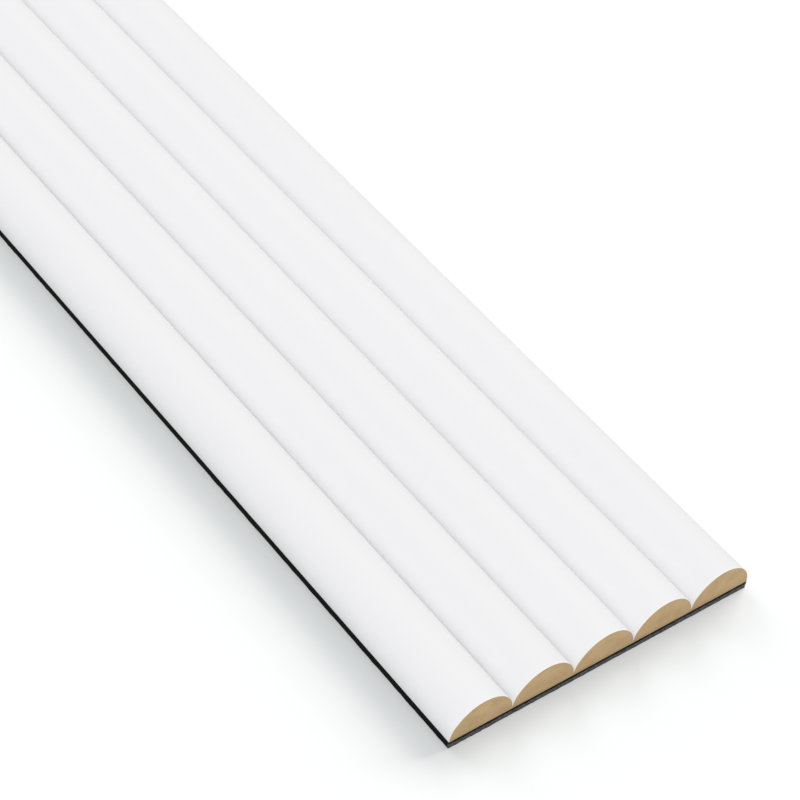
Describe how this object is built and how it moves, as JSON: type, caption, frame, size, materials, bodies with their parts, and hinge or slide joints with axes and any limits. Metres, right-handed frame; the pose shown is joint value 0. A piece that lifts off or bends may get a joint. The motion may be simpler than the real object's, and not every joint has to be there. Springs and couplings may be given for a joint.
{
  "type": "fluted wall panel",
  "caption": "Long narrow wall panel of half-round white-faced MDF slats glued side by side on a flat felt backing, for cladding a wall.",
  "frame": {"origin": "middle of the felt's back face, which lies on the floor or against the wall", "axes": "+X across the slats, +Y along the slats, +Z out of the panel's face, away from the felt"},
  "size_m": [0.1, 2.4, 0.0124],
  "materials": {
    "felt": "matte",
    "mdf": "matte",
    "white_film": "satin"
  },
  "bodies": {
    "root": {"felt_backing": "felt", "mdf_slat_1": "mdf", "mdf_slat_2": "mdf", "mdf_slat_3": "mdf", "mdf_slat_4": "mdf", "mdf_slat_5": "mdf", "white_facing_1": "white_film", "white_facing_2": "white_film", "white_facing_3": "white_film", "white_facing_4": "white_film", "white_facing_5": "white_film"}
  },
  "joints": []
}
